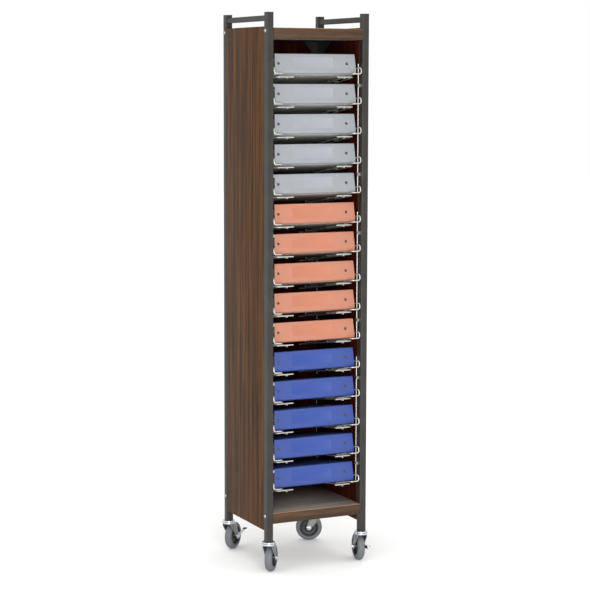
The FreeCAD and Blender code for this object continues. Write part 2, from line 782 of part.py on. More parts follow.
# ---- Casters; a caster's own origin is on the floor under its swivel, and its wheel trails along +X

def make_stem():
    """The fixed half of a swivel: a sleeve in the post, the top race and the kingpin with its head."""
    body = new_body("stem")
    section = sketch_on(body, "XZ_Plane", "stem_section")
    crown_bottom = "wheel_diameter + crown_gap"
    head_top = f"{crown_bottom} - race_play"
    head_bottom = f"{head_top} - kingpin_head_height"
    race_bottom = "post_bottom - top_race"
    sleeve = "tube_size / 2 - tube_wall - plug_clearance"
    outline(section, [("0", head_bottom), ("kingpin_head / 2", head_bottom), ("kingpin_head / 2", head_top),
                      ("kingpin_diameter / 2", head_top), ("kingpin_diameter / 2", race_bottom),
                      ("race_diameter / 2", race_bottom), ("race_diameter / 2", "post_bottom"),
                      (sleeve, "post_bottom"), (sleeve, "post_bottom + sleeve_length"),
                      ("0", "post_bottom + sleeve_length")])
    revolve(body, section, "stem_turned")
    return body


def make_fork():
    """The swivelling half: the lower race, the crown and two legs down to the axle."""
    body = new_body("fork")
    legs = sketch_on(body, "XZ_Plane", "fork_legs")
    crown_top = "wheel_diameter + crown_gap + crown_plate"
    axle_z = "wheel_diameter / 2"
    outline(legs, [("-leg_front", crown_top), ("-leg_front", f"{crown_top} - leg_lip"),
                   ("caster_trail - leg_eye", axle_z), ("caster_trail + leg_eye", axle_z),
                   ("crown_back", crown_top)])
    both_legs = "leg_gap + 2 * leg_plate"
    pad(body, legs, "fork_block", both_legs, both=True)
    eyes = sketch_on(body, "XZ_Plane", "fork_eyes")
    circle(eyes, "caster_trail", axle_z, "2 * leg_eye")
    pad(body, eyes, "fork_eye_block", both_legs, both=True)
    room = sketch_on(body, "XZ_Plane", "fork_room")
    rectangle(room, "-race_diameter", "2 * wheel_diameter", "-wheel_diameter", "wheel_diameter + crown_gap")
    pocket(body, room, "fork_wheel_room", length="leg_gap", both=True)
    race = sketch_on(body, "XY_Plane", "fork_race", lift="wheel_diameter + crown_gap")
    circle(race, "0", "0", "race_diameter")
    pad(body, race, "fork_lower_race", "post_bottom - top_race - race_open - wheel_diameter - crown_gap")
    collar = sketch_on(body, "XY_Plane", "fork_collar", lift="wheel_diameter + crown_gap")
    circle(collar, "0", "0", "race_collar")
    pad(body, collar, "fork_inner_collar", "post_bottom - top_race - race_play - wheel_diameter - crown_gap")
    bore = sketch_on(body, "XY_Plane", "fork_bore")
    circle(bore, "0", "0", "kingpin_bore")
    pocket(body, bore, "fork_kingpin_bore", both=True)
    axle_holes = sketch_on(body, "XZ_Plane", "fork_axle_holes")
    circle(axle_holes, "caster_trail", axle_z, "axle_diameter + 2 * axle_clearance")
    pocket(body, axle_holes, "fork_axle_bores", both=True)
    return body


def make_hub():
    """The wheel's moulded centre, turned about its axle: a long boss, a web and a rim."""
    body = new_body("hub")
    section = sketch_on(body, "XY_Plane", "hub_section")
    boss = "leg_gap / 2 - hub_play"
    rim = "hub_diameter / 2 - rim_wall"
    outline(section, [("hub_bore / 2", f"-({boss})"), ("hub_boss / 2", f"-({boss})"),
                      ("hub_boss / 2", "-hub_web / 2"), (rim, "-hub_web / 2"), (rim, "-hub_rim / 2"),
                      ("hub_diameter / 2", "-hub_rim / 2"), ("hub_diameter / 2", "hub_rim / 2"),
                      (rim, "hub_rim / 2"), (rim, "hub_web / 2"), ("hub_boss / 2", "hub_web / 2"),
                      ("hub_boss / 2", boss), ("hub_bore / 2", boss)])
    revolve(body, section, "hub_turned")
    return body


def make_tread():
    """The rubber tyre on the hub, with round shoulders."""
    body = new_body("tread")
    ring_face = sketch_on(body, "XZ_Plane", "tread_ring")
    circle(ring_face, "0", "0", "wheel_diameter")
    circle(ring_face, "0", "0", "hub_diameter + 2 * tread_seat")
    pad(body, ring_face, "tread_band", "wheel_width", both=True)
    reach = sizes.wheel_diameter / 2
    round_edges(body, "tread_shoulders", "tread_round",
                lambda edge: isinstance(edge.Curve, Part.Circle) and near(edge.Curve.Radius, reach))
    return body


def make_pedal(name, toward, reach, rise):
    """A pressed brake pedal about the axle; its arm runs along +X or -X and ends in a foot tab."""
    body = new_body(name)
    side = "leg_gap / 2 + leg_plate + pedal_play"
    boss = sketch_on(body, "XZ_Plane", name + "_boss", lift=side)
    circle(boss, "0", "0", "pedal_boss")
    pad(body, boss, name + "_boss_plate", "pedal_plate")
    arm = sketch_on(body, "XZ_Plane", name + "_arm", lift=side)
    outline(arm, [("0", "-pedal_arm / 2"), (f"{toward} * {reach}", f"{rise} - pedal_tip / 2"),
                  (f"{toward} * {reach}", f"{rise} + pedal_tip / 2"), ("0", "pedal_arm / 2")])
    pad(body, arm, name + "_arm_plate", "pedal_plate")
    tab = sketch_on(body, "XZ_Plane", name + "_tab", lift=side)
    tab_top = f"{rise} + pedal_tip / 2"
    rectangle(tab, f"{toward} * ({reach} - pedal_tab)", f"{toward} * {reach}",
              f"{tab_top} - pedal_plate", tab_top)
    pad(body, tab, name + "_foot", "pedal_tab_width")
    bore = sketch_on(body, "XZ_Plane", name + "_bore")
    circle(bore, "0", "0", "axle_diameter + 2 * axle_clearance")
    pocket(body, bore, name + "_axle_bore", both=True)
    return body


def hexagon(height, start, direction):
    """A hexagonal head or nut, as wide across its flats as the axle's."""
    reach = sizes.axle_head_flats / math.sqrt(3)
    corners = [Vector(reach * math.cos(turn * math.pi / 3), 0, reach * math.sin(turn * math.pi / 3))
               for turn in range(7)]
    face = Part.Face(Part.makePolygon(corners))
    face.translate(start)
    return face.extrude(direction * height)


def axle_solids(pedal):
    """The axle bolt and its nut, in the caster's own frame; a pedal sits between the leg and the head."""
    leg_face = sizes.leg_gap / 2 + sizes.leg_plate
    head_y = leg_face + (sizes.pedal_plate + 2 * sizes.pedal_play if pedal else 0)
    centre = Vector(sizes.caster_trail, 0, sizes.wheel_diameter / 2)
    along = Vector(0, 1, 0)
    shank_length = head_y + leg_face + sizes.axle_nut_height + sizes.axle_end
    shank = Part.makeCylinder(sizes.axle_diameter / 2, shank_length, centre - along * head_y, along)
    bolt_solid = shank.fuse(hexagon(sizes.axle_head_height, centre - along * head_y, -along))
    nut = hexagon(sizes.axle_nut_height, centre + along * leg_face, along)
    nut = nut.cut(Part.makeCylinder(sizes.axle_diameter / 2 + sizes.axle_clearance,
                                    3 * sizes.axle_nut_height, centre + along * (leg_face / 2), along))
    return bolt_solid.Solids + nut.Solids


stem = make_stem()
fork = make_fork()
hub = make_hub()
tread = make_tread()
pedals = {corner: make_pedal(f"{corner}_brake", *values) for corner, values in PEDALS.items()}
group("caster_stems", [moved(stem.Shape, at(side * post_x, end * post_y)) for side, end in CORNERS.values()])
for corner, (side, end) in CORNERS.items():
    swivel = at(side * post_x, end * post_y, 0, CASTER_TURNS[corner])
    axle = swivel * at(sizes.caster_trail, 0, sizes.wheel_diameter / 2)
    group(f"{corner}_fork", [fork.Shape.copy()] + axle_solids(corner in PEDALS), swivel)
    group(f"{corner}_hub", [hub.Shape.copy()], axle)
    group(f"{corner}_tread", [tread.Shape.copy()], axle)
    if corner in PEDALS:
        sub_part(pedals[corner], f"{corner}_pedal", axle)


# ---- The whole outline is centred over the origin, checked and written

doc.recompute()
whole = FreeCAD.BoundBox()
for piece in sub_parts:
    whole.add(piece.Shape.optimalBoundingBox(False, False))
centring = at(-whole.Center.x, -whole.Center.y, 0)
for piece in sub_parts:
    piece.Placement = centring * piece.Placement
doc.recompute()

for item in doc.Objects:
    if {"Invalid", "Error"} & set(item.State):
        raise ValueError(f"{item.Label} failed: {item.State}")
for piece in sub_parts:
    if piece.Shape.isNull() or not piece.Shape.isValid() or not piece.Shape.Solids:
        raise ValueError(f"{piece.Label} has no sound shape")

os.makedirs("parts", exist_ok=True)
for piece in sub_parts:
    piece.Shape.exportStep(f"parts/{piece.Label}.step")
print(f"{len(sub_parts)} sub-parts, {sum(len(piece.Shape.Solids) for piece in sub_parts)} solids")
print(f"centred by {centring.Base}, outline {whole.XLength:.1f} x {whole.YLength:.1f} x {whole.ZMax:.1f}")
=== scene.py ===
"""Medical chart rack: the finished pieces and finishes that are built around its solid model."""
import json
import math
from functools import partial

import bmesh
import bpy
from mathutils import Matrix, Vector


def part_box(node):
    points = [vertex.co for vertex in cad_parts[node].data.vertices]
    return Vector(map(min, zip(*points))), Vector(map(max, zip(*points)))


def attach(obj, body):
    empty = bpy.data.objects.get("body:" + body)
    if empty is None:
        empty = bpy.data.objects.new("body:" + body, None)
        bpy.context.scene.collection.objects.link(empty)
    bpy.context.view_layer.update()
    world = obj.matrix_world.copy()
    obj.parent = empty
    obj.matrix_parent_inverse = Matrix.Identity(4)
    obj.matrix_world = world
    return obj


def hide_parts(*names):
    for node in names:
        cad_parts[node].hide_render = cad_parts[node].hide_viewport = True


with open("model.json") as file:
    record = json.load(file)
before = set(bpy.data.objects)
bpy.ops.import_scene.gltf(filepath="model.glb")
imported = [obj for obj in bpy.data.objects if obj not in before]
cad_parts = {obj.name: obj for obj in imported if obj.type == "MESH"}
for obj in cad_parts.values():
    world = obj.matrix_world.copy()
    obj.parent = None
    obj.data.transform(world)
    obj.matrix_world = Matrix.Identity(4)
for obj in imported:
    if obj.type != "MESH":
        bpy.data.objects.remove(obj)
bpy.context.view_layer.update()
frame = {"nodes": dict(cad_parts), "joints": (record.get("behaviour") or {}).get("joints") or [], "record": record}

bl_info = {
    "name": "Medical Chart Rack",
    "version": (1, 0, 0),
    "blender": (4, 5, 0),
    "location": "3D View > Sidebar > Chart Rack",
    "description": "Builds the finished pieces of a rolling rack for ring binders around its solid model",
    "category": "Object",
}

MM = 0.001
X, Y, Z = range(3)
CORNERS = ("front_left", "front_right", "rear_left", "rear_right")
JOINTS = {joint["name"]: joint for joint in frame["joints"]}
BINDERS = sorted(name for name in frame["nodes"] if name.startswith("binder_"))
SLOTS = {row["node"]: row["material_slot"] for row in frame["record"]["subparts"]}
# The slope of the trays in degrees, up towards the front.
TRAY_SLOPE = 9.0


# ---- Colours and materials

# Most of a noise pattern lies between these two values.
NOISE_LOW, NOISE_HIGH = 0.3, 0.7


def linear(code):
    """An sRGB hex colour as linear RGBA, by the curve of the sRGB standard."""
    values = [int(code[place:place + 2], 16) / 255 for place in (1, 3, 5)]
    values = [value / 12.92 if value <= 0.04045 else ((value + 0.055) / 1.055) ** 2.4 for value in values]
    return (*values, 1.0)


def shaded(tone, factor):
    """A linear tone made darker or lighter by a factor."""
    return (*(min(1.0, value * factor) for value in tone[:3]), 1.0)


def colour(code, name, description):
    """A colour property whose default is an sRGB hex value."""
    return bpy.props.FloatVectorProperty(name=name, description=description, subtype="COLOR", size=4,
                                         min=0.0, max=1.0, default=linear(code))


def add_node(tree, kind, inputs=None, **properties):
    """Add a node; an input takes a value, or a socket to be linked to it."""
    node = tree.nodes.new(kind)
    for name, value in properties.items():
        setattr(node, name, value)
    for name, value in (inputs or {}).items():
        if isinstance(value, bpy.types.NodeSocket):
            tree.links.new(value, node.inputs[name])
        else:
            node.inputs[name].default_value = value
    return node


def new_material(name, **surface):
    """A material with one Principled surface; its sockets are named with underscores for spaces."""
    material = bpy.data.materials.new(name)
    material.use_nodes = True
    tree = material.node_tree
    tree.nodes.clear()
    shader = add_node(tree, "ShaderNodeBsdfPrincipled",
                      {socket.replace("_", " "): value for socket, value in surface.items()})
    add_node(tree, "ShaderNodeOutputMaterial", {"Surface": shader.outputs["BSDF"]})
    return material, tree, shader


def object_place(tree, scale=(1, 1, 1), turn=(0, 0, 0)):
    """The object's own coordinates, stretched and turned."""
    coordinates = add_node(tree, "ShaderNodeTexCoord")
    mapping = add_node(tree, "ShaderNodeMapping", {"Vector": coordinates.outputs["Object"],
                                                   "Scale": scale, "Rotation": turn})
    return mapping.outputs["Vector"]


def noise(tree, place, size_mm, detail=3.0, roughness=0.5, distortion=0.0):
    """Noise whose blotches are about size_mm across."""
    inputs = {"Vector": place, "Scale": 1.0 / MM / size_mm, "Detail": detail, "Roughness": roughness,
              "Distortion": distortion}
    return add_node(tree, "ShaderNodeTexNoise", inputs).outputs["Fac"]


def ramp(tree, factor, *stops):
    """A colour ramp; each stop is a position and a colour."""
    node = add_node(tree, "ShaderNodeValToRGB", {"Fac": factor})
    band = node.color_ramp
    band.elements[0].position, band.elements[0].color = stops[0]
    band.elements[1].position, band.elements[1].color = stops[-1]
    for position, tint in stops[1:-1]:
        band.elements.new(position).color = tint
    return node.outputs["Color"]


def paint(tree, shader, pattern, low, high, span=(NOISE_LOW, NOISE_HIGH)):
    """Colour a surface from the tone of a pattern's low places to the tone of its high ones."""
    tones = ramp(tree, pattern, (span[0], low), (span[1], high))
    tree.links.new(tones, shader.inputs["Base Color"])


def bump(tree, shader, height, depth_mm):
    """Raise the surface by a height pattern, depth_mm from low to high."""
    node = add_node(tree, "ShaderNodeBump", {"Height": height, "Distance": depth_mm * MM, "Strength": 1.0})
    tree.links.new(node.outputs["Normal"], shader.inputs["Normal"])


def bronze_enamel():
    """Baked bronze enamel on steel tube: a warm dark grey with a soft sheen and a faint orange peel."""
    material, tree, shader = new_material("bronze_enamel", Roughness=0.45, Specular_IOR_Level=0.35)
    place = object_place(tree)
    paint(tree, shader, noise(tree, place, size_mm=60), linear("#201E1B"), linear("#292723"))
    bump(tree, shader, noise(tree, place, size_mm=1.6), depth_mm=0.02)
    return material


def plain_metal(name, code, roughness, metallic=1.0):
    """Plated or polished metal: an even tone whose gloss varies a little; dull plating is less metallic."""
    material, tree, shader = new_material(name, Base_Color=linear(code), Metallic=metallic)
    haze = noise(tree, object_place(tree), size_mm=40)
    glossiest, dullest = roughness * 0.8, roughness * 1.25
    gloss = add_node(tree, "ShaderNodeMapRange",
                     {"Value": haze, "From Min": NOISE_LOW, "From Max": NOISE_HIGH, "To Min": glossiest,
                      "To Max": dullest})
    tree.links.new(gloss.outputs["Result"], shader.inputs["Roughness"])
    return material


def moulded(name, code, roughness, grain_mm=0.8, depth_mm=0.02, mottle=0.08):
    """Moulded plastic or rubber: one tone, slightly uneven, with a fine moulded grain."""
    material, tree, shader = new_material(name, Roughness=roughness)
    place = object_place(tree)
    tone = linear(code)
    paint(tree, shader, noise(tree, place, size_mm=30), shaded(tone, 1 - mottle), shaded(tone, 1 + mottle))
    bump(tree, shader, noise(tree, place, grain_mm), depth_mm)
    return material


# How much shorter the pattern of a grain is along it, which draws it out into streaks.
WOOD_DRAWN, FILM_DRAWN = 0.03, 0.02
# What the pores of the walnut print, and the wood between them, do to its colour.
PORE_SHADE, WOOD_SHADE = (0.72, 0.70, 0.68, 1), (1.06, 1.05, 1.04, 1)


def walnut(name, dark, middle, light, along=Z, roughness=0.6, gloss=0.1):
    """Walnut-grain laminate with a low-gloss face: long streaks, pores and a soft sheen.

    Its pores are drawn about 2 mm wide, coarser than real ones, because they wouldn't show otherwise.
    """
    material, tree, shader = new_material(name, Roughness=roughness, Specular_IOR_Level=gloss)
    place = object_place(tree, [WOOD_DRAWN if axis == along else 1 for axis in (X, Y, Z)])
    streaks = noise(tree, place, size_mm=15, detail=4.0, roughness=0.6, distortion=0.3)
    pores = noise(tree, place, size_mm=2.4, detail=5.0, roughness=0.6)
    tones = ramp(tree, streaks, (0.30, linear(dark)), (0.48, linear(middle)), (0.68, linear(light)))
    shades = ramp(tree, pores, (0.35, PORE_SHADE), (0.62, WOOD_SHADE))
    grain = add_node(tree, "ShaderNodeMix", {"Factor": 1.0}, data_type="RGBA", blend_type="MULTIPLY")
    tree.links.new(tones, grain.inputs["A"])
    tree.links.new(shades, grain.inputs["B"])
    tree.links.new(grain.outputs["Result"], shader.inputs["Base Color"])
    bump(tree, shader, pores, depth_mm=0.03)
    return material


def cover_lining():
    """Grey plastic film on a binder's lower cover, calendered: matt, with fine lines drawn one way."""
    material, tree, shader = new_material("grey_cover_lining", Roughness=0.65)
    lines = noise(tree, object_place(tree, (FILM_DRAWN, 1, 1)), size_mm=2.5, detail=2.0)
    paint(tree, shader, lines, linear("#B4B2AD"), linear("#CBC9C4"))
    bump(tree, shader, lines, depth_mm=0.05)
    return material


def sheet_edges():
    """Stacked office paper: off-white, with fine lines where the edges of the sheets show."""
    material, tree, shader = new_material("stacked_paper", Roughness=0.9)
    place = object_place(tree, (FILM_DRAWN, FILM_DRAWN, 1), (math.radians(TRAY_SLOPE), 0, 0))
    lines = noise(tree, place, size_mm=1.2, detail=2.0)
    paint(tree, shader, lines, linear("#C9C5BB"), linear("#F1EEE6"), span=(0.35, 0.65))
    bump(tree, shader, lines, depth_mm=0.15)
    return material


# The tones of each kind of binder's covers and of its label.
BINDER_TONES = {"grey": ("#7D8185", "#82868C"),
                "salmon": ("#9F6752", "#A0644C"),
                "blue": ("#243A7B", "#203A80")}


def binder_cover(tint):
    """Embossed polypropylene board: an even, full tone with a satin sheen and a fine grain."""
    return moulded(f"{tint}_polypropylene", BINDER_TONES[tint][0], roughness=0.45, grain_mm=0.7,
                    mottle=0.025)


def label_sleeve(tint):
    """Vinyl sleeve over a card in nearly the cover's tone: a little glossier and smoother than the cover."""
    return moulded(f"{tint}_label_sleeve", BINDER_TONES[tint][1], roughness=0.35, grain_mm=1.5,
                    depth_mm=0.01, mottle=0.015)


MATERIALS = {
    # Enamelled steel tube.
    "frame_tube": bronze_enamel,
    # Moulded nylon caps: nearly black, with a dull sheen.
    "cap_plastic": partial(moulded, "black_nylon", "#1C1C1D", roughness=0.5),
    # Printed laminate on the outside of the panels: brown with tan and dark streaks, upright.
    "side_laminate": partial(walnut, "walnut_laminate", "#2B1D14", "#452E1B", "#603F20"),
    # The inside of the panels: the same grain with painted shade, darkened to a deep red-brown.
    "back_laminate": partial(walnut, "shade_painted_walnut_laminate", "#1A0703", "#300D05", "#4A1709"),
    # The boards' banded fronts: a flatter brown with its grain lying along the edge.
    "board_laminate": partial(walnut, "walnut_board_laminate", "#35281E", "#463528", "#503E30", along=X),
    # The boards' faces: the same grain, glossier, greyed and lightened as a painted sheen for the light they catch
    # at a low angle.
    "board_top": partial(walnut, "sheen_painted_walnut_laminate", "#6C6660", "#7D766F", "#8C857E", along=X,
                         roughness=0.4, gloss=0.3),
    # Painted highlight where a board's face meets its front: a thin tan line on the rounded edge, where it catches
    # the light.
    "edge_line": partial(moulded, "painted_edge_highlight", "#8E6A46", roughness=0.45),
    # Chromed domed bolt heads: small light dots with a soft highlight.
    "bolt_chrome": partial(plain_metal, "chromed_bolt", "#9FA1A6", roughness=0.3),
    # Enamelled sheet steel: black with a slight texture.
    "gusset_steel": partial(moulded, "black_enamel", "#24211F", roughness=0.4, grain_mm=1.2),
    # Chromed wire: a light warm grey, less metallic than real chrome, so that thin wires stay light.
    "chrome_wire": partial(plain_metal, "bright_chrome_wire", "#B4B3AF", roughness=0.3, metallic=0.6),
    # Nickel-plated clips: a mid grey shine.
    "clip_metal": partial(plain_metal, "nickel_plate", "#A9A9A8", roughness=0.28),
    **{f"binder_{tint}": partial(binder_cover, tint) for tint in BINDER_TONES},
    **{f"{tint}_label": partial(label_sleeve, tint) for tint in BINDER_TONES},
    "cover_lining": cover_lining,
    "paper": sheet_edges,
    # Nickel-plated rivets: small dark glossy rims.
    "rivet": partial(plain_metal, "dark_nickel", "#5B5A58", roughness=0.25),
    # Nickel-plated spring steel: a bright shine.
    "ring_steel": partial(plain_metal, "nickel_plated_rings", "#C9C9C6", roughness=0.18),
    # Bright zinc on the races, axles and pedals' arms: a cool near-white shine.
    "caster_zinc": partial(plain_metal, "bright_zinc_plate", "#CDD1DA", roughness=0.2),
    # Painted shade and reflection on the forks' pressed sheet: a darker copy of the zinc, a mid grey with a green
    # cast, with a blurred shine.
    "fork_zinc": partial(plain_metal, "shade_painted_zinc_plate", "#7F8480", roughness=0.35, metallic=0.85),
    # Moulded polypropylene wheel centres: nearly black with a satin sheen.
    "hub_plastic": partial(moulded, "black_polypropylene", "#151517", roughness=0.45),
    # Moulded rubber treads: a mid grey, nearly matt.
    "tread_rubber": partial(moulded, "grey_thermoplastic_rubber", "#585B5F", roughness=0.55),
    # Zinc-plated sheet steel: bright, a little darker than the races.
    "pedal_steel": partial(plain_metal, "zinc_plated_pedal", "#C2C6CC", roughness=0.22),
    # Rubber pads on the pedals: black and matt.
    "pedal_rubber": partial(moulded, "black_rubber", "#1B1B1D", roughness=0.6),
}

made = {}


def finish_of(key):
    """The material of a slot or of an extra finish, made when it is first wanted."""
    if key not in made:
        made[key] = MATERIALS[key]()
    return made[key]


# ---- Modelling, as by hand

# Where parts of a mesh are picked, a place is met within NEAR millimetres, or within CLOSE where other parts
# are nearby. A face looks along an axis when more than FACING of its normal lies there, and straight along it
# when more than STRAIGHT does.
NEAR = 1.0
CLOSE = 0.5
FACING = 0.9
STRAIGHT = 0.98


def begin():
    """Object mode, with nothing selected."""
    if bpy.context.mode != "OBJECT":
        bpy.ops.object.mode_set(mode="OBJECT")
    bpy.ops.object.select_all(action="DESELECT")


def take(piece):
    """Make a piece the only selected one."""
    begin()
    piece.select_set(True)
    bpy.context.view_layer.objects.active = piece


def named(name):
    """The new piece, with its name and its place put in its mesh."""
    piece = bpy.context.object
    piece.name = piece.data.name = name
    bpy.ops.object.transform_apply(location=True, rotation=True, scale=True)
    return piece


def block(name, low, high):
    """A box between two corners, in millimetres."""
    begin()
    low, high = Vector(low) * MM, Vector(high) * MM
    bpy.ops.mesh.primitive_cube_add(size=1, location=(low + high) / 2)
    bpy.context.object.scale = high - low
    return named(name)


def drum(name, diameter, length, centre, upright=False, sides=48):
    """A cylinder along Y, or along Z, in millimetres."""
    begin()
    turn = (0, 0, 0) if upright else (math.radians(90), 0, 0)
    bpy.ops.mesh.primitive_cylinder_add(vertices=sides, radius=diameter / 2 * MM, depth=length * MM,
                                        location=Vector(centre) * MM, rotation=turn)
    return named(name)


def pick(piece, kind, test):
    """Edit a piece with those vertices, edges or faces selected whose middle in millimetres passes a test."""
    take(piece)
    bpy.ops.object.mode_set(mode="EDIT")
    bpy.ops.mesh.select_mode(type=kind)
    bpy.ops.mesh.select_all(action="DESELECT")
    mesh = bmesh.from_edit_mesh(piece.data)
    found = 0
    for item in {"VERT": mesh.verts, "EDGE": mesh.edges, "FACE": mesh.faces}[kind]:
        points = [item.co] if kind == "VERT" else [vertex.co for vertex in item.verts]
        if test(item, sum(points, Vector()) / len(points) / MM):
            item.select_set(True)
            found += 1
    mesh.select_flush_mode()
    bmesh.update_edit_mesh(piece.data)
    if not found:
        raise RuntimeError(f"{piece.name}: nothing there to shape")


def faces(axis, way=0, least=FACING):
    """A test for faces that look along an axis: up it with way 1, down it with way -1, or either way."""
    def test(face, spot):
        share = face.normal[axis]
        return (share * way if way else abs(share)) > least
    return test


def round_off(width, steps=3, corners=False):
    """Bevel what is selected, in millimetres."""
    bpy.ops.mesh.bevel(offset=width * MM, segments=steps, affect="VERTICES" if corners else "EDGES")


def inset(width, height=0.0):
    """Inset the selected faces and raise or sink them, in millimetres."""
    bpy.ops.mesh.inset(thickness=width * MM, depth=height * MM)


def extrude(height):
    """Extrude the selected face straight up or down, in millimetres."""
    bpy.ops.mesh.extrude_region_move(TRANSFORM_OT_translate={"value": (0, 0, height * MM)})


def shift(x=0.0, y=0.0, z=0.0):
    """Move what is selected, in millimetres."""
    bpy.ops.transform.translate(value=(x * MM, y * MM, z * MM))


def shrink(x=1.0, y=1.0, z=1.0, about=(0, 0, 0)):
    """Scale what is selected about a point in millimetres."""
    bpy.ops.transform.resize(value=(x, y, z), center_override=Vector(about) * MM)


def finish_with(piece, kind, **settings):
    """Add a modifier with its settings and apply it."""
    take(piece)
    modifier = piece.modifiers.new(kind.title(), kind)
    for name, value in settings.items():
        setattr(modifier, name, value)
    bpy.ops.object.modifier_apply(modifier=modifier.name)


def ease(piece, width, steps=2, angle=35):
    """Round every sharp edge of a piece by a width in millimetres, and shade it smooth."""
    finish_with(piece, "BEVEL", width=width * MM, segments=steps, limit_method="ANGLE",
                angle_limit=math.radians(angle), use_clamp_overlap=True)
    smooth(piece)


def smooth(piece, angle=35):
    """Shade a piece smooth, with edges sharper than an angle in degrees left sharp."""
    take(piece)
    bpy.ops.object.shade_smooth_by_angle(angle=math.radians(angle))


def unite(name, pieces):
    """Join pieces into the first of them."""
    begin()
    for piece in pieces:
        piece.select_set(True)
    bpy.context.view_layer.objects.active = pieces[0]
    bpy.ops.object.join()
    joined = bpy.context.object
    joined.name = joined.data.name = name
    return joined


def copy_to(piece, name, place):
    """A copy of a piece with its own mesh, whose place is put in that mesh."""
    take(piece)
    bpy.ops.object.duplicate(linked=False)
    bpy.context.object.matrix_world = place
    return named(name)


def throw_away(*pieces):
    """Delete the pattern pieces that copies were made from."""
    begin()
    for piece in pieces:
        piece.select_set(True)
    bpy.ops.object.delete()


def coat(piece, *materials):
    """Give a piece its materials; each face keeps its number."""
    slots = piece.data.materials
    for number, material in enumerate(materials):
        if number < len(slots):
            slots[number] = material
        else:
            slots.append(material)


def coat_faces(piece, number, test):
    """Give the faces whose middle, in millimetres, passes a test the piece's material of that number."""
    for face in piece.data.polygons:
        if test(face, face.center / MM):
            face.material_index = number


def belongs(piece, body, slot=None, *nodes):
    """Let a piece ride on its body and stand for its nodes; its slot is not used."""
    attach(piece, body)
    if nodes:
        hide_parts(*nodes)


# ---- Settings that a user would change

def length(default, low, high, name, description):
    """A length property in metres."""
    return bpy.props.FloatProperty(name=name, description=description, default=default, min=low, max=high,
                                   subtype="DISTANCE", unit="LENGTH")


def power(default, name, description):
    """A light's power in watts."""
    return bpy.props.FloatProperty(name=name, description=description, default=default, min=0.0, unit="POWER")


class ChartRackLooks(bpy.types.PropertyGroup):
    """Sizes and colours of the finish."""
    lower_fold: length(0.011, 0.003, 0.014, "Lower Fold", "Radius of the fold under a binder's spine")
    upper_fold: length(0.0035, 0.001, 0.01, "Upper Fold", "Radius of the fold over a binder's spine")
    cover_corner: length(0.006, 0.001, 0.02, "Cover Corner", "Radius of a binder cover's free corners")
    eased_edge: length(0.0006, 0.0002, 0.002, "Eased Edge", "Rounding of the panels' edges")
    board_edge: length(0.0025, 0.001, 0.005, "Board Edge", "Rounding of the boards' front edges")
    floor_colour: colour("#F2F2F1", "Floor", "Colour of the floor under the rack")
    key_power: power(12.0, "Key Light", "Power of the soft light on the rack's left")
    fill_power: power(170.0, "Fill Light", "Power of the large soft light in front of the rack")


# ---- Ring binders, in millimetres from the bottom front of the spine

BINDER = {"length": 320.0, "depth": 312.0, "height": 71.0, "wall": 3.0, "taper": 3.0}
MIDDLE = BINDER["height"] / 2


def model_cover(looks):
    """One folded board: a spine with a pressed border, two creased folds and two covers behind it."""
    half, depth, height = BINDER["length"] / 2, BINDER["depth"], BINDER["height"]
    border, groove, groove_depth = 4.0, 0.7, 0.5
    cover = block("cover", (-half, 0, 0), (half, depth, height))
    pick(cover, "VERT", lambda vertex, spot: spot.z > height - NEAR)
    shrink(x=(half - BINDER["taper"]) / half)
    pick(cover, "EDGE", lambda edge, spot: spot.y < NEAR and spot.z < NEAR)
    round_off(looks.lower_fold / MM, steps=2)
    pick(cover, "EDGE", lambda edge, spot: spot.y < NEAR and spot.z > height - NEAR)
    round_off(looks.upper_fold / MM, steps=6)
    pick(cover, "FACE", lambda face, spot: face.normal.y > FACING or abs(face.normal.x) > FACING)
    bpy.ops.mesh.delete(type="FACE")
    pick(cover, "VERT", lambda vertex, spot: spot.y > depth - NEAR)
    round_off(looks.cover_corner / MM, steps=5, corners=True)
    # Only the flat of the spine, not its folds.
    pick(cover, "FACE", faces(Y, -1, least=0.999))
    inset(border)
    inset(groove, -groove_depth)
    inset(groove, groove_depth)
    finish_with(cover, "SOLIDIFY", thickness=BINDER["wall"] * MM, offset=-1.0, use_even_offset=False)
    ease(cover, width=0.9, steps=5, angle=50)
    smooth(cover, angle=20)
    # The lower cover's underside keeps the lining; the rest takes each binder's own finish later.
    coat(cover, finish_of("cover_lining"), finish_of("cover_lining"))
    coat_faces(cover, 1, lambda face, spot: face.normal.z < -STRAIGHT and spot.z < NEAR)
    return cover


def model_label():
    """A clear sleeve on the spine with a bare card in it."""
    left, right, bottom, top = -90.0, 70.0, MIDDLE - 16.5, MIDDLE + 23.5
    front, back = -0.3, 0.2
    seam, step, card_depth = 1.2, 0.3, 0.15
    label = block("label", (left, front, bottom), (right, back, top))
    pick(label, "FACE", faces(Y, -1))
    inset(seam)
    inset(step, -card_depth)
    smooth(label)
    return label


def model_rivets():
    """Two hollow rivets with rolled rims."""
    places, diameter, height, centre = (-145.0, 123.0), 10.0, 2.0, -0.6
    rim, wall, hollow, roll = 2.6, 0.7, 1.0, 1.0
    front = centre - height / 2
    rivets = []
    for x in places:
        rivet = drum("rivet", diameter, height, (x, centre, MIDDLE), sides=28)
        pick(rivet, "FACE", faces(Y, -1))
        inset(rim)
        inset(wall, -hollow)
        pick(rivet, "EDGE", lambda edge, spot: spot.y < front + 0.1
             and math.hypot(spot.x - x, spot.z - MIDDLE) > diameter / 2 - NEAR)
        round_off(roll)
        smooth(rivet)
        rivets.append(rivet)
    return unite("rivets", rivets)


